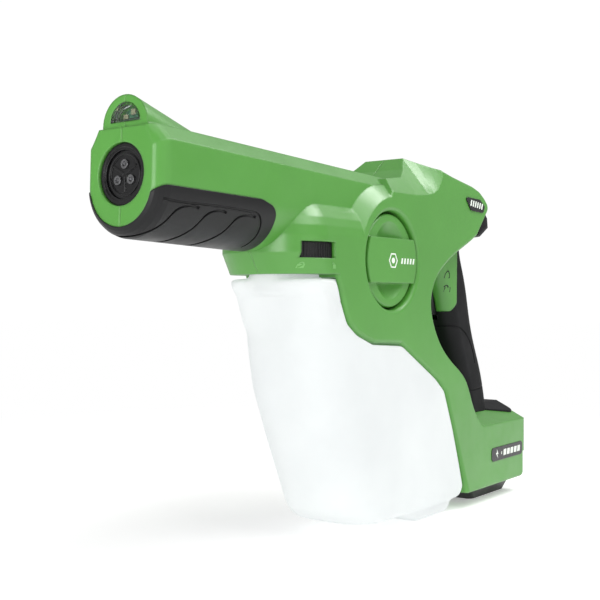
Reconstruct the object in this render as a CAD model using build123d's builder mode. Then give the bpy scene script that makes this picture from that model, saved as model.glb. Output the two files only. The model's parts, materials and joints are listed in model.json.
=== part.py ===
from build123d import *
import os
from math import cos, radians, sin

# Electrostatic disinfectant sprayer, cordless, one litre tank.
# Millimetres. +X is the spray direction, +Y the user's left, +Z up.
# The origin is on the standing plane, under the tank's flat foot.

# ---------------------------------------------------------------- driving sizes
wall = 2.6                 # housing wall
rubber = 2.0               # overmould thickness
slab_half = 35.0           # half width of the main body, skirt and battery box
barrel_half = 26.0         # half width of the barrel
barrel_pitch = 1.83        # nose-up angle of the barrel, degrees
nose_x = 250.0             # centre of the nozzle opening
nose_z = 208.5
mouth_r = 15.66            # nozzle opening in the nose
neck_x = 117.0             # axis of the tank neck
neck_r = 20.6
disc_x = 50.0              # centre of the side wrench
disc_z = 171.8
disc_r = 29.3
recess_r = 31.0

pitch = radians(barrel_pitch)
spray_dir = (cos(pitch), 0, sin(pitch))


def spray_plane(depth):
    """Plane across the barrel axis, depth mm behind the nose; local x is +Y, local y is up."""
    origin = (nose_x - depth * cos(pitch), 0, nose_z - depth * sin(pitch))
    return Plane(origin=origin, x_dir=(0, 1, 0), z_dir=spray_dir)


def set_in(points, inset):
    """Move every edge of an outline listed clockwise (seen with +Y away) inward by inset."""
    moved = []
    for i, point in enumerate(points):
        here = Vector(*point)
        before = (here - Vector(*points[i - 1])).normalized()
        after = (Vector(*points[(i + 1) % len(points)]) - here).normalized()
        normal_a = Vector(-before.Y, before.X)
        normal_b = Vector(-after.Y, after.X)
        shift = (normal_a + normal_b) * (inset / (1 + normal_a.dot(normal_b)))
        moved.append((here.X + shift.X, here.Y + shift.Y))
    return moved


def side_prism(points, half_width, inset=0.0, radius=0.0, centre_y=0.0):
    """Side outline (X, Z) drawn out to both sides of Y = centre_y."""
    with BuildPart() as prism:
        with BuildSketch(Plane.XZ.offset(-centre_y)):
            with BuildLine():
                Polyline(*set_in(points, inset), close=True)
            make_face()
            if radius > 0:
                fillet(vertices(), radius)
        extrude(amount=half_width, both=True)
    return prism.part


def rod_y(x, z, radius, y_from, y_to):
    """Cylinder along Y between two Y values."""
    with BuildPart() as rod:
        with BuildSketch(Plane.XZ.offset(-y_from)):
            with Locations((x, z)):
                Circle(radius)
        extrude(amount=-(y_to - y_from))
    return rod.part


def rod_z(x, y, radius, z_from, z_to):
    """Cylinder along Z between two heights."""
    with BuildPart() as rod:
        with BuildSketch(Plane.XY.offset(z_from)):
            with Locations((x, y)):
                Circle(radius)
        extrude(amount=z_to - z_from)
    return rod.part


def box_between(x0, x1, y0, y1, z0, z1, radius=0.0):
    """Block between two corners, upright edges rounded."""
    with BuildPart() as block:
        with BuildSketch(Plane.XY.offset(z0)):
            with Locations(((x0 + x1) / 2, (y0 + y1) / 2)):
                Rectangle(abs(x1 - x0), abs(y1 - y0))
            if radius > 0:
                fillet(vertices(), radius)
        extrude(amount=z1 - z0)
    return block.part


def spray_rod(radius, depth_from, depth_to, y=0.0, up=0.0):
    """Cylinder along the barrel axis between two depths behind the nose."""
    with BuildPart() as rod:
        with BuildSketch(spray_plane(depth_to)):
            with Locations((y, up)):
                Circle(radius)
        extrude(amount=depth_to - depth_from)
    return rod.part


# ---------------------------------------------------------------- body forms
def barrel_section(depth, half, low, side_top, top_half, top):
    """Flat-sided section with a half-round bottom and bevelled top."""
    with BuildSketch(spray_plane(depth)) as section:
        with BuildLine():
            Line((half, low), (half, side_top))
            Line((half, side_top), (top_half, top))
            Line((top_half, top), (-top_half, top))
            Line((-top_half, top), (-half, side_top))
            Line((-half, side_top), (-half, low))
            ThreePointArc((-half, low), (0, low - half), (half, low))
        make_face()
    return section.sketch


barrel_low = -4.8
barrel_end = 236.0
nose_steps = [(8.0, 0), (5.0, 0.7), (2.5, 2.0), (0.9, 3.5), (0, 5.0)]    # depth, how far the skin closes in


def nose_section(depth, step, inset):
    """Barrel section closed in by step towards the rounded nose."""
    return barrel_section(depth, barrel_half - step - inset, barrel_low, 16.0 - step * 0.7 - inset * 0.4,
                          18.0 - step * 0.4 - inset * 0.6, 24.0 - step * 0.26 - inset)


def barrel_form(inset):
    """Long barrel with its rounded nose."""
    rear_section = nose_section(barrel_end, 0, inset)
    nose_sections = [nose_section(depth + inset, step, inset) for depth, step in nose_steps]
    with BuildPart() as form:
        extrude(to_extrude=rear_section, amount=barrel_end - nose_steps[0][0] - inset, dir=spray_dir)
        loft(sections=nose_sections, ruled=True)
    return form.part


led_arch_r = 15.5
led_arch_z = 232.2
led_front_x = 247.0


led_rear_x = 182.0
led_drop = 19.2


def led_arch(inset):
    """Arched front of the lamp housing."""
    with BuildSketch(Plane.YZ.offset(led_front_x - inset)) as arch:
        with Locations((0, led_arch_z)):
            Circle(led_arch_r - inset)
        with Locations((0, led_arch_z - 8)):
            Rectangle(2 * (led_arch_r - inset), 16)
    return arch.sketch


def led_hump(inset):
    """Arched lamp housing on top of the nose, sinking into the barrel to the rear."""
    arch = led_arch(inset)
    run = Vector(led_rear_x - led_front_x, 0, -led_drop)
    with BuildPart() as form:
        extrude(to_extrude=arch, amount=run.length, dir=run)
    return form.part


def plan_face(z, x_front, x_rear, half, r_front, r_rear):
    """Plan outline with its own front and rear corner radii."""
    with BuildSketch(Plane.XY.offset(z)) as face:
        with BuildLine():
            Polyline((x_rear, -half), (x_front, -half), (x_front, half), (x_rear, half), close=True)
        make_face()
        fillet(vertices().group_by(Axis.X)[-1], r_front)
        fillet(vertices().group_by(Axis.X)[0], r_rear)
    return face.sketch


skirt_bottom = 162.0


def skirt_form(inset):
    """Collar around the tank neck, shouldered in to the barrel at the top."""
    i = inset
    faces = [
        plan_face(skirt_bottom, 142.3 - i, 60, slab_half - i, 27 - i, 4),
        plan_face(174, 150 - i, 60, slab_half - i, 28 - i, 4),
        plan_face(184, 150 - i, 60, slab_half - i, 28 - i, 4),
        plan_face(189.5, 149 - i, 60, slab_half - 1.0 - i, 27 - i, 4),
        plan_face(194.5, 146.8 - i, 60, slab_half - 3.2 - i, 25 - i, 4),
        plan_face(199, 143.5 - i, 60, slab_half - 6.2 - i, 22 - i, 4),
        plan_face(203, 139 - i, 60, barrel_half - 0.6 - i, 19 - i, 4),
    ]
    with BuildPart() as form:
        loft(sections=faces, ruled=True)
    return form.part


boss_x = 47.0
boss_z = 171.5
boss_r = 40.0
boss_ramp = 8.6


def boss_form(inset):
    """Round boss that carries the wrench, ramped down to the barrel sides."""
    with BuildPart() as form:
        for side in (1, -1):
            with BuildSketch(Plane.XZ.offset(side * (barrel_half - inset))) as foot:
                with Locations((boss_x, boss_z)):
                    Circle(boss_r + boss_ramp - inset)
            with BuildSketch(Plane.XZ.offset(side * (slab_half - inset))) as rim:
                with Locations((boss_x, boss_z)):
                    Circle(boss_r - inset)
            loft(sections=[foot.sketch, rim.sketch])
    return form.part


# Side outline of the main body, pillar and battery box, clockwise from the boss.
top_points = [
    (60, 208.5), (52, 213), (45, 224), (24, 227), (14, 233.5), (4, 242.3),
    (-16, 234.6), (-31, 232), (-61, 228), (-72, 225.3), (-80, 221), (-88, 214.8), (-68, 193.5),
]
opening_points = [
    (-68, 193.5), (-40, 181), (-16, 168.5), (-3, 156), (0, 146), (-4, 131), (-15, 116),
    (-34, 102.5), (-51, 90.5), (-61, 74), (-71, 62), (-87, 55.5),
]
box_points = [
    (-87, 55.5), (-148, 55.5), (-148, 10.5), (-53, 10.5), (-20, 85), (-10, 93), (40, 119.5), (72, 121),
]
front_points = [(72, 121), (90, 127), (99.5, 134), (104, 143), (108, 153), (112, 163)]
inner_points = [(112, 163), (108, 176), (84, 186)]
body_points = top_points[:-1] + opening_points[:-1] + box_points[:-1] + front_points[:-1] + inner_points
soft_corners = [                        # X, Z, rounding radius
    (-80, 221, 8), (-72, 225.3, 12), (-61, 228, 30), (-16, 234.6, 25), (-88, 214.8, 5),
    (-20, 85, 6), (-148, 10.5, 4), (-53, 10.5, 4), (14, 233.5, 4),
]


def body_form(inset):
    """Main body, pillar and box walls."""
    points = set_in(body_points, inset)
    first = len(top_points) - 1
    second = first + len(opening_points) - 1
    third = second + len(box_points) - 1
    fourth = third + len(front_points) - 1
    with BuildPart() as form:
        with BuildSketch(Plane.XZ):
            with BuildLine():
                Polyline(*points[:first + 1])
                Spline(*points[first:second + 1])
                Polyline(*points[second:third + 1])
                Spline(*points[third:fourth + 1])
                Polyline(*points[fourth:], points[0])
            make_face()
            for x, z, radius in soft_corners:
                fillet(vertices().sort_by_distance((x, z, 0))[0], radius)
        extrude(amount=slab_half - inset, both=True)
        if inset == 0:
            fillet(edges().filter_by(lambda e: abs(abs(e.center().Y) - slab_half) < 0.01), 2.5)
    return form.part


facet_levels = [                        # X, height at the side, half width at the ridge, ridge height
    (70, 213.5, 24.5, 225.2),
    (50, 214.2, 23.6, 226.2),
    (35, 214.4, 21.0, 231.0),
    (20, 214.6, 17.0, 237.5),
    (4, 216.2, 14.6, 242.4),
    (-3, 217.8, 20.6, 239.8),
    (-9, 221.0, 26.4, 237.5),
    (-13, 225.4, 30.6, 236.0),
    (-15.5, 230.0, 33.6, 235.2),
    (-17, 234.4, 34.9, 234.9),
]


def facet_cut(side):
    """Sloping facet beside the hump, swept up to the rear."""
    faces = []
    for x, side_z, ridge_half, ridge_z in facet_levels:
        with BuildSketch(Plane.YZ.offset(x)) as face:
            Polygon((side * 35.2, side_z), (side * ridge_half, ridge_z), (side * ridge_half, 262),
                    (side * 60, 262), (side * 60, side_z), align=None)
        faces.append(face.sketch)
    with BuildPart() as cut:
        loft(sections=faces, ruled=True)
    return cut.part


def box_roof(inset):
    """Ridged top of the battery box."""
    with BuildPart() as form:
        with BuildSketch(Plane.YZ.offset(-148 + inset)):
            Polygon(
                (slab_half - inset, 30), (slab_half - inset, 55.5 - inset * 0.8),
                (12, 67 - inset), (-12, 67 - inset),
                (-slab_half + inset, 55.5 - inset * 0.8), (-slab_half + inset, 30), align=None)
        extrude(amount=88 - inset)
    return form.part


# Handle sections: height, front X, rear X, half width.
handle_stations = [
    (196, -42, -86, 17.5),
    (172, -44, -88, 17.2),
    (148, -55, -97, 17.0),
    (124, -64, -105, 16.6),
    (95, -77, -119, 16.6),
    (76, -82, -123, 18.0),
    (58, -80, -127, 20.0),
]


def handle_form(inset):
    """Pistol grip as a smooth loft."""
    faces = []
    for z, x_front, x_rear, half in handle_stations:
        faces.append(plan_face(z, x_front - inset, x_rear + inset, half - inset, 13 - inset, 14.5 - inset))
    with BuildPart() as form:
        loft(sections=faces)
    return form.part


def ribbon(points, width, half_width, smooth=True):
    """Narrow band following a side-view path, drawn out across the object."""
    with BuildPart() as band:
        with BuildSketch(Plane.XZ):
            with BuildLine():
                if smooth:
                    Spline(*points)
                else:
                    Polyline(*points)
            trace(line_width=width)
        extrude(amount=half_width, both=True)
    return band.part


def rod_along(points, radius):
    """Round bar swept along a smooth curve steered by X, Y, Z points."""
    with BuildPart() as rod:
        with BuildLine():
            path = Bezier(*points)
        with BuildSketch(Plane(origin=path @ 0, z_dir=path % 0)):
            Circle(radius)
        sweep(path=path)
    return rod.part


def common(first, second):
    """Shared volume of two solids."""
    with BuildPart() as shared:
        add(first)
        add(second, mode=Mode.INTERSECT)
    return shared.part


def ring_between(outside, inside):
    """First solid with the second one taken out."""
    with BuildPart() as layer:
        add(outside)
        add(inside, mode=Mode.SUBTRACT)
    return layer.part


def tube_along(points, outside, inside):
    """Hose along a smooth curve."""
    return ring_between(rod_along(points, outside), rod_along(points, inside))


# Rubber areas and the green panel on the handle.
grip_region = side_prism([(252, 202.2), (171.9, 200.9), (158.5, 197), (157, 165), (252, 165)], 40, 0, 8)
panel_region = side_prism([(-30, 139), (-30, 200), (-70, 200), (-70, 145), (-64, 139)], 30, 0, 3)
handle_span = box_between(-160, -40, -30, 30, 58.2, 185.8)
cap_points = [(-84, 213.3), (-97, 212.4), (-103, 207.2), (-104, 200.4), (-98, 193.7), (-71, 193.7)]


def outer_form():
    """Outside of the hard housing, with the overmoulded areas set in."""
    with BuildPart() as form:
        add(body_form(0))
        add(boss_form(0))
        for side in (1, -1):
            add(facet_cut(side), mode=Mode.SUBTRACT)
        add(skirt_form(0))
        add(barrel_form(0))
        add(led_hump(0))
        add(box_roof(0))
        add(handle_form(rubber))
        add(common(handle_form(0), panel_region))
    return form.part


def inner_form():
    """Hollow inside the housing."""
    with BuildPart() as form:
        add(body_form(wall))
        add(boss_form(wall))
        for side in (1, -1):
            add(facet_cut(side).translate((0, -side * wall, -wall)), mode=Mode.SUBTRACT)
        add(skirt_form(wall))
        add(barrel_form(wall + 1.4))
        add(led_hump(wall))
        add(box_roof(wall))
        add(handle_form(rubber + 2.2))
    return form.part


outer = outer_form()
inner = inner_form()

# ---------------------------------------------------------------- positions shared by parts
window_low = 171.0
window_high = 180.3
tank_top = 159.5
plate_z = 180.4
plate_t = 2.4
bay = (-142.0, -69.0, 24.2, 58.0)       # battery bay: rear X, front X, half width, top
screw_places = [                        # X, Z, height of the head seat on the right side
    (200, 223, 14), (140, 222, 14), (104, 217.5, 16), (154, 186, 15), (19, 218.5, 18), (-50, 222, 26),
    (64, 134, 27), (10, 150, 27), (-4, 119, 27), (-58, 40, 27), (-92, 66, 12), (-76, 178, 9), (-95, 100, 9),
]
pin_x = -63.0
pin_z = 159.0
lock_x = -51.5
lock_z = 180.0
lock_r = 3.5


def neck_tongue(grow, z_low, z_high):
    """Rear part of the tank shoulder that enters the housing."""
    face = plan_face(z_low, 113 + grow, 84 - grow, 31.2 + grow, 0.8, 25.5 + grow)
    with BuildPart() as tongue:
        extrude(to_extrude=face, amount=z_high - z_low, dir=(0, 0, 1))
    return tongue.part


def inside_walls():
    """Ribs, bosses, recess cup and bay walls added inside the housing."""
    with BuildPart() as walls:
        add(rod_y(disc_x, disc_z, recess_r + 2.2, 18.5, 36))
        add(neck_tongue(3.0, 112, 164.6))
        add(common(skirt_form(0), box_between(100, 152, -36, 36, skirt_bottom, skirt_bottom + 2.6)))
        add(rod_z(neck_x, 0, 24.4, skirt_bottom, window_low - 0.1))
        add(box_between(84, 150, -34, 34, plate_z, plate_z + plate_t))
        add(box_between(bay[0] - 2, bay[1] + 2, -bay[2] - 2, bay[2] + 2, 10.5, bay[3] + 2))
        add(common(barrel_form(1), spray_rod(30, 19, 22)))
        for x, z, seat in screw_places:
            add(rod_y(x, z, 4.2, -36, 0))
            add(rod_y(x, z, 3.6, 0, 36))
    return walls.part


def recess_rim():
    """Soft lead-in round the wrench recess."""
    rings = []
    steps = (
        (slab_half - 2.2, recess_r),
        (slab_half - 0.8, recess_r + 0.7),
        (slab_half + 0.1, recess_r + 2.4),
    )
    for out, radius in steps:
        with BuildSketch(Plane.XZ.offset(-out)) as ring:
            with Locations((disc_x, disc_z)):
                Circle(radius)
        rings.append(ring.sketch)
    with BuildPart() as rim:
        loft(sections=rings, ruled=True)
    return rim.part


def housing_openings():
    """Everything cut from the joined housing."""
    with BuildPart() as cuts:
        add(spray_rod(mouth_r, -2, 12))
        add(spray_rod(15.55, 10, 24))
        add(spray_rod(18.0, 2.6, 5.1))
        add(rod_y(disc_x, disc_z, recess_r, 21.0, 40))
        add(recess_rim())
        add(neck_tongue(0.8, 100, 160.4))
        add(rod_z(neck_x, 0, 21.6, 155, plate_z))
        add(rod_z(neck_x, 0, 5.2, plate_z - 1, plate_z + plate_t + 1))
        add(box_between(115, 139.6, 20, 40, window_low, window_high))
        add(box_between(115, 139.6, -40, -20, window_low, window_high))
        add(box_between(bay[0], bay[1], -bay[2], bay[2], 0, bay[3], 2))
        add(box_between(-83, -71.5, -12.5, 12.5, 50, bay[3] + 3))
        add(box_between(-78, -40, -6.3, 6.3, 133, 168))
        add(rod_y(pin_x, pin_z, 1.55, -13.5, 13.5))
        add(rod_y(lock_x, lock_z, lock_r + 0.05, -30, 30))
        for x, z, seat in screw_places:
            add(rod_y(x, z, 3.1, -60, -seat))
            add(rod_y(x, z, 1.7, -seat, 0))
            add(rod_y(x, z, 1.5, 0, 12.5))
        with BuildSketch(Plane.YZ.offset(243)):
            with Locations((0, 233.9)):
                Circle(10.1)
            with Locations((0, 228.3)):
                Rectangle(24, 12, mode=Mode.SUBTRACT)
        extrude(amount=6)
    return cuts.part


def nose_core():
    """Front of the nose that stays hard inside the rubber rim."""
    core = nose_section(4.0, 5.0, 0)
    with BuildPart() as plug:
        extrude(to_extrude=core, amount=8.0, dir=spray_dir)
    return plug.part


def grip_recess():
    """Room in the barrel for the rubber grip."""
    with BuildPart() as room:
        add(common(grip_region, barrel_form(-1)))
        add(barrel_form(1.6), mode=Mode.SUBTRACT)
        add(nose_core(), mode=Mode.SUBTRACT)
    return room.part


with BuildPart() as housing:
    add(outer)
    add(inner, mode=Mode.SUBTRACT)
    add(common(outer, inside_walls()))
    add(grip_recess(), mode=Mode.SUBTRACT)
    add(housing_openings(), mode=Mode.SUBTRACT)
    add(common(rod_y(disc_x, disc_z, 5.0, 19, 27), box_between(0, 100, 10, 40, 100, 200)))


with BuildPart() as left_housing:
    add(housing.part)
    split(bisect_by=Plane.XZ, keep=Keep.BOTTOM)
with BuildPart() as right_housing:
    add(housing.part)
    split(bisect_by=Plane.XZ, keep=Keep.TOP)

with BuildPart() as housing_screws:
    for x, z, seat in screw_places:
        add(rod_y(x, z, 2.9, -seat - 2.4, -seat))
        add(rod_y(x, z, 1.48, -seat, 12))
        add(rod_y(x, z, 1.3, -seat - 2.5, -seat - 1.2), mode=Mode.SUBTRACT)

# ---------------------------------------------------------------- overmoulds and rear cover
groove_paths = [
    [(246, 195.6), (215, 194.8), (182, 193.9), (172.5, 192), (168.5, 187), (167.5, 176)],
    [(220, 192.6), (231, 192.8), (236, 190.4), (239.5, 184.8), (245, 179.4), (252, 175.5)],
    [(199, 191.8), (209, 192), (214, 189.4), (217.5, 183.5), (223, 177.8), (231, 173)],
    [(175, 191), (185, 191.4), (190.5, 189), (194, 183.2), (199.5, 178), (208, 173)],
]
with BuildPart() as barrel_grip:
    add(common(grip_region, barrel_form(-0.4)))
    add(barrel_form(1.6), mode=Mode.SUBTRACT)
    add(nose_core(), mode=Mode.SUBTRACT)
    for path in groove_paths:
        add(ring_between(ribbon(path, 1.3, 40), barrel_form(0.5)), mode=Mode.SUBTRACT)

foot_patch = [(-96, 15), (-147.4, 28), (-147.4, -28), (-96, -15)]


def roof_patch():
    """Rubber patch behind the handle on the roof of the battery box."""
    with BuildPart() as patch:
        with BuildSketch(Plane.XY.offset(50)):
            Polygon(*foot_patch, align=None)
            fillet(vertices(), 5)
        extrude(amount=25)
        add(box_roof(-1.2), mode=Mode.INTERSECT)
    return patch.part


with BuildPart() as handle_grip:
    add(common(handle_form(0), handle_span))
    add(handle_form(rubber), mode=Mode.SUBTRACT)
    add(roof_patch())
    add(box_roof(0), mode=Mode.SUBTRACT)
    add(body_form(0), mode=Mode.SUBTRACT)
    add(panel_region, mode=Mode.SUBTRACT)
    add(handle_form(rubber), mode=Mode.SUBTRACT)
    add(box_between(-78, -30, -6.3, 6.3, 133, 168), mode=Mode.SUBTRACT)
    for x, z, seat in screw_places:
        add(rod_y(x, z, 3.1, -60, -seat), mode=Mode.SUBTRACT)
    for path in ([(-60, 128), (-78, 126), (-92, 116), (-100, 100)], [(-73, 84), (-96, 80), (-122, 84)]):
        add(ring_between(ribbon(path, 1.2, 30), handle_form(0.7)), mode=Mode.SUBTRACT)

button_z = 203.0
button_y = 9.5
button_front = -105.4
crown_levels = [(193.6, -98, 31), (200.4, -104, 22), (207.2, -103, 22), (212.4, -97, 22), (213.4, -92, 22)]
cover_room = [(-82, 210.5), (-95, 209.9), (-100.4, 206), (-101.3, 200.6), (-97.6, 197.4), (-76, 196.2)]


def cover_crown():
    """Rounded rear end, drawn in above and below: height, rear X, corner radius."""
    faces = [plan_face(z, -60, x_rear, 33.5, 1, radius) for z, x_rear, radius in crown_levels]
    with BuildPart() as crown:
        loft(sections=faces, ruled=True)
    return crown.part


with BuildPart() as rear_cover:
    add(cover_crown())
    add(side_prism(cap_points, 33.5), mode=Mode.INTERSECT)
    add(side_prism(cover_room, 15.5), mode=Mode.SUBTRACT)
    add(body_form(0), mode=Mode.SUBTRACT)
    add(handle_form(rubber), mode=Mode.SUBTRACT)
    for y in (button_y, -button_y):
        with BuildSketch(Plane.YZ.offset(-112)):
            with Locations((y, button_z)):
                Circle(5.0)
        extrude(amount=15, mode=Mode.SUBTRACT)
    add(box_between(-101.3, -98.5, -16.5, 16.5, 196.8, 209), mode=Mode.SUBTRACT)


def push_button(y):
    """Round button through the rear cover with a retaining flange."""
    with BuildPart() as button:
        with BuildSketch(Plane.YZ.offset(button_front)):
            with Locations((y, button_z)):
                Circle(4.92)
        extrude(amount=9.4)
        fillet(edges().group_by(Axis.X)[0], 0.8)
        with BuildSketch(Plane.YZ.offset(button_front + 5.2)):
            with Locations((y, button_z)):
                Circle(5.7)
        extrude(amount=1.2)
    return button.part


with BuildPart() as power_button:
    add(push_button(button_y))
with BuildPart() as charge_button:
    add(push_button(-button_y))

# ---------------------------------------------------------------- lamp
lens_half = 10.0


def lamp_outline(x, grow):
    """Half-disc window outline across the lamp front."""
    with BuildSketch(Plane.YZ.offset(x)) as face:
        with Locations((0, 233.9)):
            Circle(lens_half + grow)
        with Locations((0, 228.35 - grow)):
            Rectangle(30, 12, mode=Mode.SUBTRACT)
    return face.sketch


def lens_flange():
    """Rim that holds the lens behind the window."""
    with BuildPart() as flange:
        extrude(to_extrude=lamp_outline(241.9, 0.9), amount=1.3, dir=(1, 0, 0))
        add(led_hump(wall + 0.1), mode=Mode.INTERSECT)
    return flange.part


with BuildPart() as led_lens:
    extrude(to_extrude=lamp_outline(243.0, 0), amount=4.2, dir=(1, 0, 0))
    add(lens_flange())
    extrude(to_extrude=lamp_outline(241.8, -1.4), amount=3.6, dir=(1, 0, 0), mode=Mode.SUBTRACT)

led_spots = [(-5.2, 237.7), (0, 240.0), (5.2, 237.7)]
with BuildPart() as led_board:
    extrude(to_extrude=lamp_outline(238.6, -1.7), amount=1.2, dir=(1, 0, 0))
with BuildPart() as led_chips:
    with BuildSketch(Plane.YZ.offset(239.8)):
        for y, z in led_spots:
            with Locations((y, z)):
                Rectangle(2.8, 2.8)
    extrude(amount=0.9)
with BuildPart() as led_wires:
    for y in (2.0, -2.0):
        add(rod_along([(238.4, y, 238), (226, y, 238), (214, 4 + y, 222), (208, 16 + y / 2, 209),
                       (190, 17 + y / 2, 212.5), (170, 17 + y / 2, 212.5)], 0.55))

# ---------------------------------------------------------------- nozzle
tip_r = 5.2
tip_places = [(0, tip_r), (-tip_r * sin(radians(60)), -tip_r / 2), (tip_r * sin(radians(60)), -tip_r / 2)]


def spray_ring(outside, inside, depth_from, depth_to):
    """Ring about the barrel axis."""
    outer = spray_rod(outside, depth_from, depth_to)
    return ring_between(outer, spray_rod(inside, depth_from - 1, depth_to + 1))


hose_side = 10.6
with BuildPart() as nozzle_bezel:
    add(spray_ring(15.5, 12.15, 1.8, 15.0))
    add(spray_ring(17.9, 12.15, 2.7, 5.0))
    add(spray_ring(14.9, 13.4, 1.2, 2.0))

with BuildPart() as electrode_ring:
    add(spray_ring(15.4, 12.7, 15.05, 16.95))

with BuildPart() as nozzle_carrier:
    add(spray_rod(15.5, 17.0, 24.0))
    add(spray_rod(8.0, 13.3, 17.5))
    add(spray_rod(2.45, 23, 29, hose_side, 0))
    add(spray_rod(4.08, 12, 26), mode=Mode.SUBTRACT)
    add(spray_rod(5.85, 13, 14.95), mode=Mode.SUBTRACT)
    add(spray_rod(1.2, 19, 31, hose_side, 0), mode=Mode.SUBTRACT)
    add(spray_rod(1.9, 16, 25, -13.4, 0), mode=Mode.SUBTRACT)

with BuildPart() as nozzle_turret:
    add(spray_rod(12.0, 3.0, 13.0))
    add(spray_ring(10.7, 9.7, 2.2, 3.5))
    add(spray_rod(4.0, 12.5, 28.0))
    for angle in (90, 210, 330):
        rib_plane = spray_plane(3.4)
        with BuildSketch(rib_plane):
            with Locations(Rotation(0, 0, angle - 60)):
                with Locations((4.6, 0)):
                    Rectangle(8.4, 1.2)
        extrude(amount=1.1)
    for y, up in tip_places:
        add(spray_rod(2.35, 0, 10.05, y, up), mode=Mode.SUBTRACT)
        add(spray_rod(0.8, 9, 14, y, up), mode=Mode.SUBTRACT)
    add(spray_ring(6, 3.4, 24.3, 25.3), mode=Mode.SUBTRACT)

with BuildPart() as turret_clip:
    add(spray_ring(6.2, 3.45, 24.35, 25.25))

seal_plane = Plane(spray_plane(14.1).origin, x_dir=(0, 1, 0), z_dir=(-sin(pitch), 0, cos(pitch)))
with BuildPart() as turret_seal:
    with BuildSketch(seal_plane):
        with Locations((4.96, 0)):
            Circle(0.8)
    revolve(axis=Axis(spray_plane(14.1).origin, spray_dir))

with BuildPart() as spray_tips:
    for y, up in tip_places:
        add(spray_rod(2.3, 2.0, 10.0, y, up))
        add(spray_rod(1.3, 1.0, 3.2, y, up), mode=Mode.SUBTRACT)
        add(spray_rod(0.5, 1.0, 11, y, up), mode=Mode.SUBTRACT)

# ---------------------------------------------------------------- pump, hoses and electrics
pump_z = 200.0
with BuildPart() as pump_motor:
    with BuildSketch(Plane.YZ.offset(28)):
        with Locations((0, pump_z)):
            Circle(11.5)
    extrude(amount=32)
    chamfer(edges().group_by(Axis.X)[0], 1)
    with BuildSketch(Plane.YZ.offset(60)):
        with Locations((0, pump_z)):
            Circle(4)
    extrude(amount=2)
    with BuildSketch(Plane.YZ.offset(50)):
        with Locations((0, pump_z)):
            Circle(1.25)
    extrude(amount=20, mode=Mode.SUBTRACT)
    with BuildSketch(Plane.YZ.offset(25)):
        with Locations((5, pump_z), (-5, pump_z)):
            Rectangle(2.5, 0.6)
    extrude(amount=3)

with BuildPart() as pump_eccentric:
    with BuildSketch(Plane.YZ.offset(51)):
        with Locations((0, pump_z)):
            Circle(1.2)
    extrude(amount=20)
    with BuildSketch(Plane.YZ.offset(66)):
        with Locations((1.0, pump_z)):
            Circle(4.5)
    extrude(amount=5)

with BuildPart() as pump_head:
    add(box_between(62.1, 80, -13, 13, 188, 212, 2))
    with BuildSketch(Plane.YZ.offset(60)):
        with Locations((0, pump_z)):
            Circle(6.5)
    extrude(amount=13, mode=Mode.SUBTRACT)
with BuildPart() as pump_cover:
    add(box_between(80.1, 86, -13, 13, 188, 212, 2))
    for y, z in ((-7, 194), (7, 206)):
        with BuildSketch(Plane.YZ.offset(86)):
            with Locations((y, z)):
                Circle(2.3)
        extrude(amount=4)
        with BuildSketch(Plane.YZ.offset(82)):
            with Locations((y, z)):
                Circle(1.3)
        extrude(amount=12, mode=Mode.SUBTRACT)

hose_start = spray_plane(24.4).origin + Vector(0, hose_side, 0)
hose_lead = spray_plane(42).origin + Vector(0, hose_side, 0)
spray_hose_path = [
    tuple(hose_start), tuple(hose_lead), (196, 12, 207), (170, 17, 204),
    (140, 17, 203), (116, 13, 206), (104, 7, 206), (86.2, 7, 206),
]
with BuildPart() as spray_hose:
    add(tube_along(spray_hose_path, 3.7, 2.75))

with BuildPart() as dock_valve:
    add(rod_z(neck_x, 0, 9, plate_z + plate_t + 0.02, plate_z + plate_t + 3))
    add(rod_z(neck_x, 0, 4.9, 168.2, plate_z + plate_t + 1))
    add(rod_z(neck_x, 0, 2.3, plate_z + plate_t + 3, plate_z + plate_t + 7))
    add(ring_between(rod_z(neck_x, 0, 6, 172.3, 173.7), rod_z(neck_x, 0, 4.2, 172, 174)), mode=Mode.SUBTRACT)
    add(rod_z(neck_x, 0, 1.3, 160, 200), mode=Mode.SUBTRACT)

with BuildPart() as dock_seal:
    with BuildSketch(Plane.XZ):
        with Locations((neck_x + 4.87, 173)):
            Circle(0.62)
    revolve(axis=Axis((neck_x, 0, 0), (0, 0, 1)))

hose_top = plate_z + plate_t + 3.1
suction_hose_path = [
    (neck_x, 0, hose_top), (neck_x, 0, hose_top + 18), (108, -7, 194), (86.2, -7, 194),
]
with BuildPart() as suction_hose:
    add(tube_along(suction_hose_path, 3.7, 2.75))

with BuildPart() as high_voltage_module:
    add(box_between(160, 204, -17, 4, 190.4, 206, 2))
lead_side = Vector(0, -13.4, 0)
lead_path = [(204.2, -9, 200), (214, -9, 200)]
for depth in (32, 26, 17.1):
    lead_path.append(tuple(spray_plane(depth).origin + lead_side))
with BuildPart() as high_voltage_lead:
    add(rod_along(lead_path, 1.1))

with BuildPart() as control_board:
    add(box_between(16, 52, -28, -26.4, 158, 200))
    add(box_between(20, 34, -26.4, -22, 164, 178))
    add(box_between(38, 48, -26.4, -20, 182, 194))
    for z in (166, 172, 178):
        add(box_between(40, 46, -26.4, -24.4, z, z + 3))

with BuildPart() as trigger_switch:
    add(box_between(-85, -77, -5, 5, 138, 156, 1))
    add(box_between(-77, -75.3, -2, 2, 143, 147))

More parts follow.
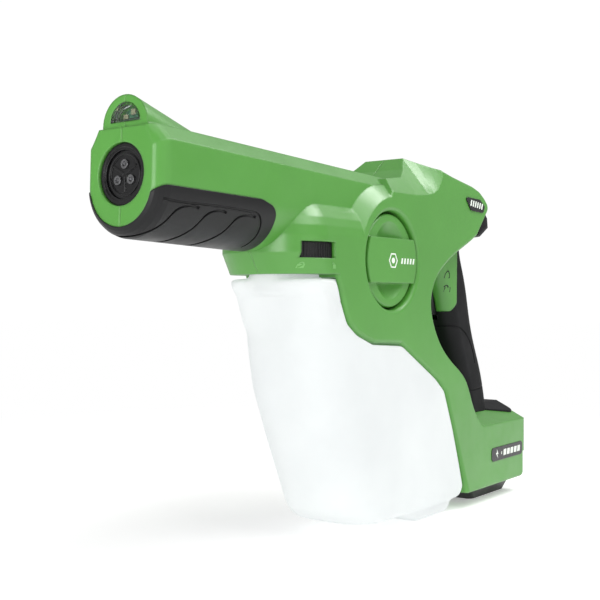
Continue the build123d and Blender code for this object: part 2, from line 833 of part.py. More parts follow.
with BuildPart() as wiring:
    for y in (9, -9):
        battery_wire = [
            (-73, y, 62.2), (-58, y, 61), (-44, y, 72), (-26, y, 97), (-8, y, 105),
            (30, y - 6, 114), (32 + y / 3, -26, 130), (26 + y / 3, -27.2, 156.6),
        ]
        add(rod_along(battery_wire, 1.1))
    for y in (5, -5):
        motor_wire = [
            (24.8, y, pump_z), (17, y, pump_z), (10, -8 + y / 2, 194),
            (9, -24 + y / 4, 188 + y), (15.2, -27.2, 188 + y),
        ]
        add(rod_along(motor_wire, 0.8))
    module_wire = [
        (52.8, -27.2, 192), (80, -24, 192), (100, -14, 190), (130, -14, 194), (159.6, -10, 198),
    ]
    add(rod_along(module_wire, 0.8))

with BuildPart() as battery_terminals:
    add(box_between(-82.5, -72, -12, 12, bay[3] + 0.1, bay[3] + 2.9))
    for y in (-8, -4, 0, 4, 8):
        add(box_between(-80, -74, y - 0.4, y + 0.4, 52.5, bay[3] + 1))

# ---------------------------------------------------------------- trigger and lock
with BuildPart() as trigger:
    with BuildSketch(Plane.XZ):
        with BuildLine():
            Polyline((-69, 137), (-66, 136), (-55.5, 136.5), (-53, 139))
            Spline((-53, 139), (-53.6, 145), (-52.6, 151), (-50.5, 157))
            Polyline((-50.5, 157), (-54, 163.5), (-66, 163.5), (-70.5, 160), (-70.5, 140), (-69, 137))
        make_face()
    extrude(amount=5.9, both=True)
    fillet(edges().filter_by(lambda e: e.center().X < -52 and e.center().X > -56
                             and abs(e.center().Y) > 5 and e.length > 8), 1.5)
    add(rod_y(pin_x, pin_z, 1.58, -10, 10), mode=Mode.SUBTRACT)
with BuildPart() as trigger_pin:
    add(rod_y(pin_x, pin_z, 1.5, -13.3, 13.3))
with BuildPart() as trigger_lock:
    add(rod_y(lock_x, lock_z, lock_r, -18.2, 18.2))
    fillet(edges(), 0.8)

# ---------------------------------------------------------------- tank
tank_wall = 2.0
shelf_z = 118.0
slope_z = 130.0              # the shelf's slope ends below this height
tank_levels = [                          # height, front X, rear X, half width, front radius, rear radius
    (9, 76, -43.5, 30.5, 22, 5),
    (11, 80, -48, 33, 24, 6),
    (17, 86, -49, 34.8, 27, 6),
    (36, 95.5, -40.6, 35.8, 29, 6),
    (60, 107, -30, 36.6, 31, 6),
    (86, 118, -17.4, 37, 32, 6),
    (95, 121.5, -5, 37, 32, 6),
    (shelf_z, 126.6, 37.5, 36.6, 32, 6),
    (120, 126.8, 72.5, 36.4, 31.5, 5),
    (126.4, 127, 90.6, 35.8, 30, 4),
    (133.2, 127.2, 100.2, 34.6, 22, 2),
    (141, 129.2, 104.6, 34.9, 20.5, 2),
    (149.5, 131.6, 108.2, 35, 19.5, 2),
    (153.2, 135.2, 109.7, 35, 20, 2),
    (157.6, 138, 111.5, 34.8, 20, 2),
    (tank_top, 136.6, 112.6, 33.4, 19, 2),
]


def tank_walls(inset):
    """Stack of rounded plan outlines, walls, floor, shelf and top moved in by inset."""
    faces = []
    for z, x_front, x_rear, half, r_front, r_rear in tank_levels:
        height = z
        if z == tank_levels[0][0]:
            height = z + inset
        if shelf_z <= z < slope_z or z == tank_top:
            height = z - inset
        r_inner = r_front - inset * 0.9
        rear_inner = max(r_rear - inset, 1.5)
        faces.append(plan_face(height, x_front - inset, x_rear + inset, half - inset, r_inner, rear_inner))
    with BuildPart() as form:
        loft(sections=faces, ruled=True)
    return form.part


foot_points = [(-44, 11), (-39, 3), (-35.5, 0), (5, 0), (18, 4), (40, 11)]
foot_half = 28.5
grip_pocket = [(106, 134), (134, 131), (140, 140), (140, 152), (118, 153.5), (108, 147)]
pocket_guard = [(98, 131), (136, 128), (144, 138), (144, 155), (116, 156), (98, 150)]


def tank_foot():
    """Flat foot under the tank, its lower edges rounded."""
    with BuildPart() as foot:
        add(side_prism(foot_points, foot_half))
        fillet(edges().filter_by(lambda e: abs(abs(e.center().Y) - foot_half) < 0.01 and e.center().Z < 9), 5)
    return foot.part


def tank_hollow():
    """Space for the liquid."""
    with BuildPart() as hollow:
        add(tank_walls(tank_wall))
        add(neck_tongue(-tank_wall, 114, tank_top - tank_wall))
        for side in (1, -1):
            add(side_prism(pocket_guard, 12, 0, 5, side * 42.5), mode=Mode.SUBTRACT)
    return hollow.part


with BuildPart() as tank:
    add(tank_walls(0))
    add(neck_tongue(0, 116, tank_top))
    add(rod_z(neck_x, 0, neck_r, 150, 165))
    add(tank_foot())
    for side in (1, -1):
        add(side_prism(grip_pocket, 10, 0, 5, side * 42.5), mode=Mode.SUBTRACT)
    add(tank_hollow(), mode=Mode.SUBTRACT)
    add(rod_z(neck_x, 0, 17.5, 160, 176))
    add(rod_z(neck_x, 0, 15.2, 150, 177), mode=Mode.SUBTRACT)

with BuildPart() as neck_insert:
    add(rod_z(neck_x, 0, 17.4, 176.05, 177.6))
    add(rod_z(neck_x, 0, 15.1, 171, 176.5))
    add(rod_z(neck_x, 0, 7.6, 153, 171))
    add(rod_z(neck_x, 0, 2.35, 150, 153))
    add(rod_z(neck_x, 0, 5.6, 155.95, 180), mode=Mode.SUBTRACT)
    add(rod_z(neck_x, 0, 1.5, 140, 157), mode=Mode.SUBTRACT)

with BuildPart() as tank_nut:
    add(rod_z(neck_x, 0, 20.5, 165.05, 179.2))
    with BuildSketch(Plane.XY.offset(166)):
        with Locations((neck_x, 0)):
            with PolarLocations(20.5, 24):
                Rectangle(1.0, 1.6)
    extrude(amount=11)
    add(rod_z(neck_x, 0, 17.62, 165, 177.65), mode=Mode.SUBTRACT)
    add(rod_z(neck_x, 0, 14.0, 170, 180), mode=Mode.SUBTRACT)

with BuildPart() as valve_plunger:
    add(rod_z(neck_x, 0, 5.3, 166.0, 168.1))
    add(rod_z(neck_x, 0, 1.6, 158.2, 166.5))

with BuildPart() as valve_spring:
    with BuildLine():
        coil = Helix(pitch=2.2, height=8.8, radius=3.8, center=(neck_x, 0, 156.5))
    with BuildSketch(Plane(origin=coil @ 0, z_dir=coil % 0)):
        Circle(0.4)
    sweep(path=coil, is_frenet=True)

pickup_path = [
    (neck_x, 0, 152.8), (neck_x, 0, 130), (104, 0, 96), (40, 0, 62), (8, 0, 60), (8, 0, 24.1),
]
with BuildPart() as pickup_tube:
    add(tube_along(pickup_path, 3.5, 2.5))
with BuildPart() as inlet_filter:
    add(rod_z(8, 0, 6, 12.6, 24))
    for z in (15, 18, 21):
        with BuildSketch(Plane.XY.offset(z)):
            with Locations((8, 0)):
                Circle(7)
                Circle(5.4, mode=Mode.SUBTRACT)
        extrude(amount=1.2, mode=Mode.SUBTRACT)

with BuildPart() as lock_ring:
    add(rod_z(neck_x, 0, 28.0, window_low, window_high - 0.1))
    for facing in (75, -75):
        with BuildSketch(Plane.XY.offset(window_low)):
            with BuildLine():
                Line((neck_x, 0), (neck_x + 32 * cos(radians(facing - 25)), 32 * sin(radians(facing - 25))))
                RadiusArc((neck_x + 32 * cos(radians(facing - 25)), 32 * sin(radians(facing - 25))),
                          (neck_x + 32 * cos(radians(facing + 25)), 32 * sin(radians(facing + 25))), -32)
                Line((neck_x + 32 * cos(radians(facing + 25)), 32 * sin(radians(facing + 25))), (neck_x, 0))
            make_face()
        extrude(amount=window_high - 0.1 - window_low)
    add(rod_z(neck_x, 0, 22.0, 165, 185), mode=Mode.SUBTRACT)
    with BuildSketch(Plane.XY.offset(165)):
        with Locations((neck_x, 0)):
            for first in (52, -98):
                with PolarLocations(32.2, 13, start_angle=first, angular_range=46):
                    Rectangle(1.6, 1.5)
    extrude(amount=30, mode=Mode.SUBTRACT)

# ---------------------------------------------------------------- side wrench
bar_half = 14.0
wrench_back = 21.6
wrench_face = 34.6
well_ball_r = 30.0
well_ball_y = 56.6


def finger_well(side):
    """Shallow scoop beside the bar."""
    with BuildPart() as well:
        with Locations((disc_x, well_ball_y, disc_z + side * 7)):
            Sphere(well_ball_r)
        add(box_between(0, 100, 20, 90, disc_z - bar_half, disc_z + bar_half), mode=Mode.SUBTRACT)
    return well.part


with BuildPart() as nozzle_wrench:
    add(rod_y(disc_x, disc_z, disc_r, wrench_back, wrench_face - 2.4))
    fillet(edges().group_by(Axis.Y)[-1], 1.6)
    add(common(rod_y(disc_x, disc_z, disc_r, 24, wrench_face),
               box_between(0, 100, 20, 40, disc_z - bar_half, disc_z + bar_half)))
    for side in (1, -1):
        add(finger_well(side), mode=Mode.SUBTRACT)
    rear_hollow = ring_between(rod_y(disc_x, disc_z, 26.5, 10, 24.4), rod_y(disc_x, disc_z, 9, 10, 30))
    add(rear_hollow, mode=Mode.SUBTRACT)
    add(rod_y(disc_x, disc_z, 5.08, 10, 27.2), mode=Mode.SUBTRACT)

with BuildPart() as wrench_mark:
    with BuildSketch(Plane.XZ.offset(-wrench_face)):
        with Locations((disc_x, disc_z)):
            RegularPolygon(5.2, 6)
            RegularPolygon(4.3, 6, mode=Mode.SUBTRACT)
            Circle(1.8)
    extrude(amount=-0.25)

# ---------------------------------------------------------------- battery
case_rear = bay[0] + 0.5
case_front = bay[1] - 0.5
case_half = bay[2] - 0.5
with BuildPart() as battery_base:
    with BuildSketch(Plane.XY):
        with Locations((-114.5, 0)):
            Rectangle(57, 41)
        fillet(vertices(), 5)
    with BuildSketch(Plane.XY.offset(10.3)):
        with Locations((-110.5, 0)):
            Rectangle(73, 50)
        fillet(vertices(), 5)
    loft(ruled=True)
    add(box_between(-152, -141.2, -9, 9, 2, 9.2), mode=Mode.SUBTRACT)
case_wall = 1.8
with BuildPart() as battery_case:
    add(box_between(case_rear, case_front, -case_half, case_half, 10.4, 56.5, 2))
    room_half = case_half - case_wall
    room = box_between(case_rear + case_wall, case_front - case_wall, -room_half, room_half, 12.2, 54.7, 1)
    add(room, mode=Mode.SUBTRACT)
    for y in (-8, -4, 0, 4, 8):
        add(box_between(-81, -73, y - 0.8, y + 0.8, 50, 60), mode=Mode.SUBTRACT)

cell_places = [(-9.4, 22.2), (9.4, 22.2), (-9.4, 41.0), (9.4, 41.0)]
with BuildPart() as battery_cells:
    with BuildSketch(Plane.YZ.offset(-138)):
        with Locations(*cell_places):
            Circle(9.15)
    extrude(amount=65)
with BuildPart() as cell_straps:
    for x in (-138.4, -72.9):
        for y in (-9.4, 9.4):
            add(box_between(x, x + 0.3, y - 4, y + 4, 18, 45))
with BuildPart() as battery_board:
    add(box_between(-134, -84, -14, 14, 50.6, 52.0))
    add(box_between(-120, -108, -6, 6, 52.0, 53.6))
with BuildPart() as battery_latch:
    add(box_between(-145.9, -142.9, -8.6, 8.6, 2.6, 8.8))
    fillet(edges().group_by(Axis.X)[0], 0.8)

# ---------------------------------------------------------------- plain badges
with BuildPart() as side_badge:
    with BuildSketch(Plane.XZ.offset(-slab_half)):
        Polygon((-47, 219.5), (-70, 219), (-77.5, 214.5), (-75, 210), (-56, 210.5), align=None)
        fillet(vertices(), 1.5)
    extrude(amount=-0.8)
with BuildPart() as battery_label:
    with BuildSketch(Plane.XZ.offset(-slab_half)):
        with Locations((-117, 33.2)):
            Rectangle(54, 10)
        fillet(vertices(), 3)
    extrude(amount=-0.4)

parts = {
    "left_housing": left_housing, "right_housing": right_housing, "housing_screws": housing_screws,
    "barrel_grip": barrel_grip, "handle_grip": handle_grip, "rear_cover": rear_cover,
    "power_button": power_button, "charge_button": charge_button,
    "led_lens": led_lens, "led_board": led_board, "led_chips": led_chips, "led_wires": led_wires,
    "nozzle_bezel": nozzle_bezel, "electrode_ring": electrode_ring, "nozzle_carrier": nozzle_carrier,
    "nozzle_turret": nozzle_turret, "turret_clip": turret_clip, "turret_seal": turret_seal,
    "spray_tips": spray_tips, "pump_motor": pump_motor, "pump_eccentric": pump_eccentric,
    "pump_head": pump_head, "pump_cover": pump_cover,
    "spray_hose": spray_hose, "dock_valve": dock_valve, "dock_seal": dock_seal, "suction_hose": suction_hose,
    "high_voltage_module": high_voltage_module, "high_voltage_lead": high_voltage_lead,
    "control_board": control_board, "trigger_switch": trigger_switch, "wiring": wiring,
    "battery_terminals": battery_terminals, "trigger": trigger, "trigger_pin": trigger_pin,
    "trigger_lock": trigger_lock, "tank": tank, "neck_insert": neck_insert, "tank_nut": tank_nut,
    "valve_plunger": valve_plunger, "valve_spring": valve_spring, "pickup_tube": pickup_tube,
    "inlet_filter": inlet_filter, "lock_ring": lock_ring,
    "nozzle_wrench": nozzle_wrench, "wrench_mark": wrench_mark,
    "battery_base": battery_base, "battery_case": battery_case, "battery_cells": battery_cells,
    "cell_straps": cell_straps, "battery_board": battery_board, "battery_latch": battery_latch,
    "side_badge": side_badge, "battery_label": battery_label,
}
os.makedirs("parts", exist_ok=True)
for name, item in parts.items():
    item.part.label = name
    export_step(item.part, "parts/" + name + ".step")
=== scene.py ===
import json
import math

import bpy
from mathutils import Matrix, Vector
from mathutils.bvhtree import BVHTree


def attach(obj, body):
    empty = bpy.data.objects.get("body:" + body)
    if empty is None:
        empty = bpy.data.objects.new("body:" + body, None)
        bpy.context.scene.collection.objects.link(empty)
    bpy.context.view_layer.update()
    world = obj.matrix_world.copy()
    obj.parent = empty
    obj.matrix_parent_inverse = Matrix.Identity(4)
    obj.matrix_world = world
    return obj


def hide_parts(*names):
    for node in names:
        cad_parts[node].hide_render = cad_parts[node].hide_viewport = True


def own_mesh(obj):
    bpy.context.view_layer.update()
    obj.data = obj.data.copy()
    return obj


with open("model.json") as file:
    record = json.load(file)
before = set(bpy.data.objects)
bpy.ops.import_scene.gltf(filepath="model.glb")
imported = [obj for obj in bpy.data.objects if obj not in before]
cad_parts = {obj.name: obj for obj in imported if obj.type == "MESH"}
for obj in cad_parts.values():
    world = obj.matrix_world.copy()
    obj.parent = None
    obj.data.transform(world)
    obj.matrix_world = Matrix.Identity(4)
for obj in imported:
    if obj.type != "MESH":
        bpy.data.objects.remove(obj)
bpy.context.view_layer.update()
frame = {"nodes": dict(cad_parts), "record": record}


# ------------------------------------------------------------------ node helpers
def new_material(name):
    material = bpy.data.materials.new(name)
    material.use_nodes = True
    material.node_tree.nodes.clear()
    return material


def node(material, kind, **values):
    made = material.node_tree.nodes.new(kind)
    for key, value in values.items():
        if hasattr(made, key):
            setattr(made, key, value)
        else:
            made.inputs[key.replace("_", " ")].default_value = value
    return made


def link(material, source, target):
    material.node_tree.links.new(source, target)


def noise(material, scale, detail=3.0, roughness=0.5):
    coordinates = node(material, "ShaderNodeTexCoord")
    texture = node(material, "ShaderNodeTexNoise")
    texture.inputs["Scale"].default_value = scale
    texture.inputs["Detail"].default_value = detail
    texture.inputs["Roughness"].default_value = roughness
    link(material, coordinates.outputs["Object"], texture.inputs["Vector"])
    return texture.outputs["Fac"]


def ramp(material, source, low, high, from_low=0.35, from_high=0.65):
    mapped = node(material, "ShaderNodeMapRange")
    mapped.inputs["From Min"].default_value = from_low
    mapped.inputs["From Max"].default_value = from_high
    mapped.inputs["To Min"].default_value = low
    mapped.inputs["To Max"].default_value = high
    link(material, source, mapped.inputs["Value"])
    return mapped.outputs["Result"]


def blend_colour(material, factor, first, second):
    mix = node(material, "ShaderNodeMix")
    mix.data_type = "RGBA"
    if hasattr(first, "links"):
        link(material, first, mix.inputs[6])
    else:
        mix.inputs[6].default_value = (*first, 1)
    if hasattr(second, "links"):
        link(material, second, mix.inputs[7])
    else:
        mix.inputs[7].default_value = (*second, 1)
    if hasattr(factor, "links"):
        link(material, factor, mix.inputs[0])
    else:
        mix.inputs[0].default_value = factor
    return mix.outputs[2]


def edge_mask(material, radius):
    """Bright where the rounded normal leaves the true one: the edges."""
    bevel = node(material, "ShaderNodeBevel")
    bevel.samples = 6
    bevel.inputs["Radius"].default_value = radius
    geometry = node(material, "ShaderNodeNewGeometry")
    dot = node(material, "ShaderNodeVectorMath")
    dot.operation = "DOT_PRODUCT"
    link(material, bevel.outputs["Normal"], dot.inputs[0])
    link(material, geometry.outputs["Normal"], dot.inputs[1])
    return ramp(material, dot.outputs["Value"], 1.0, 0.0, 0.80, 0.995), bevel.outputs["Normal"]


def seam_line(material, tint, seam):
    """Thin line where the two moulded halves meet at Y = 0."""
    geometry = node(material, "ShaderNodeNewGeometry")
    split = node(material, "ShaderNodeSeparateXYZ")
    link(material, geometry.outputs["Position"], split.inputs[0])
    across = node(material, "ShaderNodeMath")
    across.operation = "ABSOLUTE"
    link(material, split.outputs["Y"], across.inputs[0])
    line = ramp(material, across.outputs[0], 0.75, 0.0, 0.00008, 0.00028)
    return blend_colour(material, line, tint, seam)


def moulded(name, colour, rough=0.42, grain=2200.0, grain_depth=0.00002, edge_radius=0.0009, edge_wear_and_highlight=0.18,
            variation=0.06, specular=0.45, coat=0.0, subsurface=0.0, seam=None):
    """Injection moulded surface: fine grain, faint shade changes, softened edges lightened partly as slight wear
    and partly as painted highlight.
    """
    m = new_material(name)
    out = node(m, "ShaderNodeOutputMaterial")
    body = node(m, "ShaderNodeBsdfPrincipled")
    mask, soft_normal = edge_mask(m, edge_radius)
    broad = noise(m, 9.0, 4.0)
    dark = tuple(c * (1 - variation) for c in colour)
    light = tuple(min(1.0, c * (1 + variation)) for c in colour)
    tint = blend_colour(m, ramp(m, broad, 0.0, 1.0), dark, light)
    # Paler tone along the edges: partly slight wear, partly painted highlight on rims and groove edges.
    worn_and_highlit = tuple(min(1.0, c * 1.25 + 0.03) for c in colour)
    amount = node(m, "ShaderNodeMath")
    amount.operation = "MULTIPLY"
    amount.inputs[1].default_value = edge_wear_and_highlight
    link(m, mask, amount.inputs[0])
    tint = blend_colour(m, amount.outputs[0], tint, worn_and_highlit)
    if seam:
        tint = seam_line(m, tint, seam)
    link(m, tint, body.inputs["Base Color"])
    fine = noise(m, grain, 2.0)
    link(m, ramp(m, noise(m, 60.0, 3.0), rough - 0.05, rough + 0.06), body.inputs["Roughness"])
    bump = node(m, "ShaderNodeBump")
    bump.inputs["Strength"].default_value = 0.35
    bump.inputs["Distance"].default_value = grain_depth
    link(m, fine, bump.inputs["Height"])
    link(m, soft_normal, bump.inputs["Normal"])
    link(m, bump.outputs["Normal"], body.inputs["Normal"])
    body.inputs["Specular IOR Level"].default_value = specular
    body.inputs["Coat Weight"].default_value = coat
    body.inputs["Coat Roughness"].default_value = 0.25
    if subsurface > 0:
        body.inputs["Subsurface Weight"].default_value = subsurface
        body.inputs["Subsurface Radius"].default_value = (0.6, 1.0, 0.4)
        body.inputs["Subsurface Scale"].default_value = 0.002
    link(m, body.outputs[0], out.inputs["Surface"])
    return m


def metal(name, colour, rough=0.3, scale=400.0):
    m = new_material(name)
    out = node(m, "ShaderNodeOutputMaterial")
    body = node(m, "ShaderNodeBsdfPrincipled")
    mask, soft_normal = edge_mask(m, 0.0003)
    body.inputs["Metallic"].default_value = 1.0
    tint = blend_colour(m, ramp(m, noise(m, scale), 0.0, 1.0), tuple(c * 0.85 for c in colour), colour)
    link(m, tint, body.inputs["Base Color"])
    link(m, ramp(m, noise(m, scale * 2), rough - 0.08, rough + 0.1), body.inputs["Roughness"])
    link(m, soft_normal, body.inputs["Normal"])
    link(m, body.outputs[0], out.inputs["Surface"])
    return m


def tank_plastic(name):
    """Natural polyethylene: milky, lets light through, faint mottling from blow moulding, plus a painted glow from
    emission.
    """
    m = new_material(name)
    out = node(m, "ShaderNodeOutputMaterial")
    body = node(m, "ShaderNodeBsdfPrincipled")
    glow = node(m, "ShaderNodeBsdfTranslucent")
    mix = node(m, "ShaderNodeMixShader")
    mask, soft_normal = edge_mask(m, 0.0025)
    tint = blend_colour(m, ramp(m, noise(m, 14.0, 5.0), 0.0, 1.0), (0.68, 0.69, 0.695), (0.74, 0.75, 0.75))
    link(m, tint, body.inputs["Base Color"])
    link(m, tint, glow.inputs["Color"])
    link(m, ramp(m, noise(m, 40.0, 4.0), 0.36, 0.5), body.inputs["Roughness"])
    body.inputs["Subsurface Weight"].default_value = 0.35
    body.inputs["Subsurface Radius"].default_value = (1.0, 1.0, 1.0)
    body.inputs["Subsurface Scale"].default_value = 0.006
    body.inputs["Specular IOR Level"].default_value = 0.4
    # Emission is a painted glow that brightens the whole tank, standing in for light scattered through its milky
    # wall.
    body.inputs["Emission Color"].default_value = (0.95, 1.0, 0.99, 1)
    body.inputs["Emission Strength"].default_value = 0.34
    bump = node(m, "ShaderNodeBump")
    bump.inputs["Strength"].default_value = 0.25
    bump.inputs["Distance"].default_value = 0.0006
    link(m, noise(m, 55.0, 3.0), bump.inputs["Height"])
    link(m, soft_normal, bump.inputs["Normal"])
    link(m, bump.outputs["Normal"], body.inputs["Normal"])
    link(m, soft_normal, glow.inputs["Normal"])
    mix.inputs[0].default_value = 0.42
    link(m, body.outputs[0], mix.inputs[1])
    link(m, glow.outputs[0], mix.inputs[2])
    link(m, mix.outputs[0], out.inputs["Surface"])
    return m


def clear_plastic(name, colour=(0.95, 0.97, 0.97), rough=0.04):
    m = new_material(name)
    out = node(m, "ShaderNodeOutputMaterial")
    body = node(m, "ShaderNodeBsdfPrincipled")
    body.inputs["Base Color"].default_value = (*colour, 1)
    body.inputs["Transmission Weight"].default_value = 1.0
    body.inputs["IOR"].default_value = 1.49
    link(m, ramp(m, noise(m, 90.0, 3.0), rough, rough + 0.08), body.inputs["Roughness"])
    see = node(m, "ShaderNodeBsdfTransparent")
    path = node(m, "ShaderNodeLightPath")
    mix = node(m, "ShaderNodeMixShader")
    link(m, path.outputs["Is Shadow Ray"], mix.inputs[0])
    link(m, body.outputs[0], mix.inputs[1])
    link(m, see.outputs[0], mix.inputs[2])
    link(m, mix.outputs[0], out.inputs["Surface"])
    return m


looks = {
    "green_shell": moulded("green_shell", (0.080, 0.300, 0.040), rough=0.38, subsurface=0.06, edge_radius=0.0018,
                           specular=0.6, coat=0.25, seam=(0.15, 0.42, 0.09)),
    "black_overmould": moulded("black_overmould", (0.005, 0.0052, 0.0062), rough=0.56, grain=1500,
                               grain_depth=0.00005, edge_wear_and_highlight=0.1, specular=0.2),
    "black_plastic": moulded("black_plastic", (0.009, 0.009, 0.010), rough=0.36, edge_radius=0.0005),
    "natural_tank": tank_plastic("natural_tank"),
    "clear_lens": clear_plastic("clear_lens"),
    "circuit_board": moulded("circuit_board", (0.02, 0.10, 0.045), rough=0.3, edge_radius=0.0003),
    "led_phosphor": moulded("led_phosphor", (0.22, 0.22, 0.13), rough=0.3, edge_radius=0.0003),
    "white_wire": moulded("white_wire", (0.78, 0.78, 0.76), rough=0.4, edge_radius=0.0003),
    "brass": metal("brass", (0.78, 0.56, 0.24), 0.28),
    "steel": metal("steel", (0.62, 0.63, 0.64), 0.3),
    "dark_steel": metal("dark_steel", (0.30, 0.30, 0.31), 0.24),
    "seal_rubber": moulded("seal_rubber", (0.012, 0.012, 0.012), rough=0.6, edge_radius=0.0003),
    "clear_hose": clear_plastic("clear_hose", (0.9, 0.93, 0.93), 0.15),
    "potting": moulded("potting", (0.02, 0.02, 0.024), rough=0.25),
    "pump_plastic": moulded("pump_plastic", (0.66, 0.65, 0.60), rough=0.45),
    "cell_wrap": moulded("cell_wrap", (0.05, 0.22, 0.42), rough=0.25, edge_radius=0.0006),
    "badge_black": moulded("badge_black", (0.012, 0.012, 0.013), rough=0.28, edge_radius=0.0003),
    "mark_white": moulded("mark_white", (0.82, 0.88, 0.80), rough=0.5, edge_radius=0.0001),
}
slots = {entry["node"]: entry["material_slot"] for entry in frame["record"]["subparts"]}
# Strong edge lightening here is mostly painted highlight along the grip's groove edges.
barrel_overmould = moulded("barrel_overmould", (0.008, 0.0081, 0.0088), rough=0.40, grain=1500, grain_depth=0.00004,
                           edge_radius=0.0006, edge_wear_and_highlight=0.35, specular=0.28)
# Strong edge lightening here is painted highlight on the nozzle tips and ring edges.
nozzle_black = moulded("nozzle_black", (0.004, 0.004, 0.0045), rough=0.20, edge_radius=0.0004, edge_wear_and_highlight=0.5,
                       specular=0.6)
closer = {"barrel_grip": barrel_overmould, "nozzle_bezel": nozzle_black, "nozzle_carrier": nozzle_black,
          "nozzle_turret": nozzle_black}
for name, piece in frame["nodes"].items():
    piece.data.materials.clear()
    piece.data.materials.append(closer.get(name, looks[slots[name]]))


# ------------------------------------------------------------------ softer blow-moulded tank
def soften(name, voxel, rounds):
    """Even the ruled bands of a moulding into flowing walls."""
    piece = frame["nodes"][name]
    remesh = piece.modifiers.new("even_walls", "REMESH")
    remesh.mode = "VOXEL"
    remesh.voxel_size = voxel
    remesh.use_smooth_shade = True
    smooth = piece.modifiers.new("soft_walls", "SMOOTH")
    smooth.factor = 0.5
    smooth.iterations = rounds


soften("tank", 0.0009, 32)


# ------------------------------------------------------------------ valve spring copy carried with the tank
coil = frame["nodes"]["valve_spring"].copy()
coil.data = coil.data.copy()
coil.name = "valve_spring_coil"
bpy.context.scene.collection.objects.link(coil)
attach(coil, "tank")
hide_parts("valve_spring")
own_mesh(coil)


# ------------------------------------------------------------------ printed and raised marks
def surface_tree(names):
    """Search tree over the outer surfaces of some nodes."""
    points = []
    faces = []
    for name in names:
        piece = frame["nodes"][name]
        start = len(points)
        points.extend(piece.matrix_world @ vertex.co for vertex in piece.data.vertices)
        faces.extend([start + index for index in polygon.vertices] for polygon in piece.data.polygons)
    return BVHTree.FromPolygons(points, faces)


def bar(x, z, length, height, lean=0.0):
    """Corners of a short bar, leaning by lean at the top."""
    return [(x, z), (x + length, z), (x + length + lean, z + height), (x + lean, z + height)]


def ring_piece(x, z, outer, inner, first, last, steps=10):
    """Quads along an arc, as separate corner lists."""
    quads = []
    for i in range(steps):
        a = math.radians(first + (last - first) * i / steps)
        b = math.radians(first + (last - first) * (i + 1) / steps)
        quads.append([(x + outer * math.cos(a), z + outer * math.sin(a)),
                      (x + outer * math.cos(b), z + outer * math.sin(b)),
                      (x + inner * math.cos(b), z + inner * math.sin(b)),
                      (x + inner * math.cos(a), z + inner * math.sin(a))])
    return quads


def mark(name, shapes, targets, look, body, thick=0.00018, side=1):
    """Lay flat shapes given in X and Z onto a side surface, with a little thickness."""
    tree = surface_tree(targets)
    vertices = []
    faces = []
    for shape in shapes:
        hits = [tree.ray_cast(Vector((x, side * 0.09, z)), Vector((0, -side, 0)))[0] for x, z in shape]
        if None in hits:
            continue
        laid = [hit.y for hit in hits]
        start = len(vertices)
        count = len(shape)
        for (x, z), y in zip(shape, laid):
            vertices.append((x, y - side * thick, z))
        for (x, z), y in zip(shape, laid):
            vertices.append((x, y + side * thick, z))
        faces.append([start + i for i in range(count)])
        faces.append([start + count + i for i in reversed(range(count))])
        for i in range(count):
            after = (i + 1) % count
            faces.append([start + i, start + after, start + count + after, start + count + i])
    mesh = bpy.data.meshes.new(name)
    mesh.from_pydata([tuple(v) for v in vertices], [], faces)
    mesh.update()
    mesh.materials.append(look)
    piece = bpy.data.objects.new(name, mesh)
    bpy.context.scene.collection.objects.link(piece)
    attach(piece, body)
    return piece


def padlock(x, z, size, opened):
    """Padlock sign: body, and a shackle that is shut or swung open."""
    shapes = [bar(x - size * 0.5, z - size * 0.45, size, size * 0.75)]
    shift = size * 0.32 if opened else 0.0
    shapes += ring_piece(x + shift, z + size * 0.32, size * 0.38, size * 0.22, 0, 180, 8)
    shapes.append(bar(x + shift - size * 0.38, z + size * 0.25, size * 0.16, size * 0.1))
    return shapes


raised_green = moulded("raised_green", (0.17, 0.43, 0.12), rough=0.4, edge_radius=0.0002)
dark_print = moulded("dark_print", (0.006, 0.012, 0.006), rough=0.5, edge_radius=0.0001)
pale_print = looks["mark_white"]

handle_signs = padlock(-0.0566, 0.1650, 0.0048, False) + padlock(-0.0588, 0.1550, 0.0044, True)
mark("handle_lock_signs", handle_signs, ["left_housing"], dark_print, "housing")
ring_signs = padlock(0.1375, 0.1665, 0.0030, False) + padlock(0.1165, 0.1665, 0.0030, True)
mark("ring_lock_signs", ring_signs, ["left_housing"], raised_green, "housing")

stripes = [bar(-0.0730 + 0.0034 * i, 0.2122 + 0.0003 * i, 0.0018, 0.0042, -0.0012) for i in range(6)]
mark("side_badge_stripes", stripes, ["side_badge"], pale_print, "housing", thick=0.0001)
cells = [bar(-0.1390 + 0.0062 * i, 0.0310, 0.0046, 0.0044, -0.0008) for i in range(5)]
cells.append(bar(-0.1072, 0.0322, 0.0012, 0.0020))
cells.append([(-0.0985, 0.0368), (-0.1010, 0.0330), (-0.0992, 0.0330), (-0.1002, 0.0298), (-0.0968, 0.0341),
              (-0.0986, 0.0341)])
mark("battery_label_signs", cells, ["battery_label"], pale_print, "housing", thick=0.0001)
pips = [bar(0.0385 - 0.0036 * i, 0.1700, 0.0018, 0.0036, -0.0008) for i in range(5)]
mark("wrench_stripes", pips, ["nozzle_wrench"], pale_print, "wrench", thick=0.0001)


# ------------------------------------------------------------------ floor, light, camera
def camera_only(material, lit, seen):
    """Camera rays see one shader and everything else the other."""
    path = node(material, "ShaderNodeLightPath")
    mix = node(material, "ShaderNodeMixShader")
    link(material, path.outputs["Is Camera Ray"], mix.inputs[0])
    link(material, lit, mix.inputs[1])
    link(material, seen, mix.inputs[2])
    return mix.outputs[0]


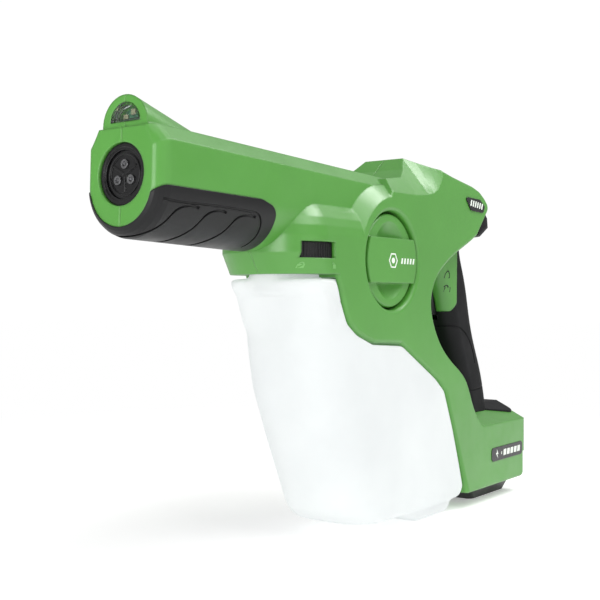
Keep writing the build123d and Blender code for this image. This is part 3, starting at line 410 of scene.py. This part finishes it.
def floor_look():
    m = new_material("studio_floor")
    out = node(m, "ShaderNodeOutputMaterial")
    body = node(m, "ShaderNodeBsdfPrincipled")
    link(m, blend_colour(m, ramp(m, noise(m, 3.0), 0, 1), (0.90, 0.90, 0.90), (0.93, 0.93, 0.93)),
         body.inputs["Base Color"])
    body.inputs["Roughness"].default_value = 0.7
    body.inputs["Emission Color"].default_value = (1, 1, 1, 1)
    body.inputs["Emission Strength"].default_value = 0.22
    lift = node(m, "ShaderNodeBsdfPrincipled")
    lift.inputs["Base Color"].default_value = (0.92, 0.92, 0.92, 1)
    lift.inputs["Roughness"].default_value = 0.7
    lift.inputs["Emission Color"].default_value = (1, 1, 1, 1)
    lift.inputs["Emission Strength"].default_value = 0.34
    far = node(m, "ShaderNodeEmission")
    far.inputs["Strength"].default_value = 1.0
    geometry = node(m, "ShaderNodeNewGeometry")
    away = node(m, "ShaderNodeVectorMath")
    away.operation = "LENGTH"
    link(m, geometry.outputs["Position"], away.inputs[0])
    fade = node(m, "ShaderNodeMixShader")
    link(m, ramp(m, away.outputs["Value"], 0.0, 1.0, 0.22, 0.75), fade.inputs[0])
    link(m, lift.outputs[0], fade.inputs[1])
    link(m, far.outputs[0], fade.inputs[2])
    link(m, camera_only(m, body.outputs[0], fade.outputs[0]), out.inputs["Surface"])
    return m


bpy.ops.mesh.primitive_plane_add(size=12, location=(0, 0, -0.0004))
floor = bpy.context.object
floor.name = "studio_floor"
floor.data.materials.append(floor_look())

world = bpy.data.worlds.new("studio")
bpy.context.scene.world = world
world.use_nodes = True
sky = world.node_tree
sky.nodes.clear()
surround = sky.nodes.new("ShaderNodeBackground")
surround.inputs[0].default_value = (1, 1, 1, 1)
surround.inputs[1].default_value = 0.44
backdrop = sky.nodes.new("ShaderNodeBackground")
backdrop.inputs[0].default_value = (1, 1, 1, 1)
backdrop.inputs[1].default_value = 1.02
sky_path = sky.nodes.new("ShaderNodeLightPath")
sky_mix = sky.nodes.new("ShaderNodeMixShader")
sky_out = sky.nodes.new("ShaderNodeOutputWorld")
sky.links.new(sky_path.outputs["Is Camera Ray"], sky_mix.inputs[0])
sky.links.new(surround.outputs[0], sky_mix.inputs[1])
sky.links.new(backdrop.outputs[0], sky_mix.inputs[2])
sky.links.new(sky_mix.outputs[0], sky_out.inputs[0])


def area_light(name, place, aim, size, power):
    data = bpy.data.lights.new(name, "AREA")
    data.shape = "RECTANGLE"
    data.size, data.size_y = size
    data.energy = power
    lamp = bpy.data.objects.new(name, data)
    bpy.context.scene.collection.objects.link(lamp)
    lamp.location = place
    lamp.visible_camera = False
    lamp.rotation_euler = (Vector(aim) - Vector(place)).to_track_quat("-Z", "Y").to_euler()
    return lamp


area_light("top_left", (0.15, 0.80, 1.10), (0.03, 0, 0.16), (0.8, 0.6), 5)
area_light("softbox", (-0.58, 0.47, 1.25), (0.0, 0, 0.2), (0.7, 0.5), 9.5)
area_light("front", (1.25, 0.15, 0.22), (0.2, 0, 0.17), (0.8, 0.6), 8)
area_light("under_left", (0.2, 1.0, 0.15), (0.05, 0, 0.1), (0.8, 0.4), 0.6)

camera_data = bpy.data.cameras.new("camera")
camera_data.sensor_width = 36
camera_data.lens = 61.73
camera_data.clip_start = 0.01
camera = bpy.data.objects.new("camera", camera_data)
bpy.context.scene.collection.objects.link(camera)
camera.location = (0.6041, 0.3635, 0.1472)
camera.rotation_euler = Vector((-0.8104, -0.5859, 0.0)).to_track_quat("-Z", "Y").to_euler()
bpy.context.scene.camera = camera
bpy.context.scene.view_settings.view_transform = "Standard"
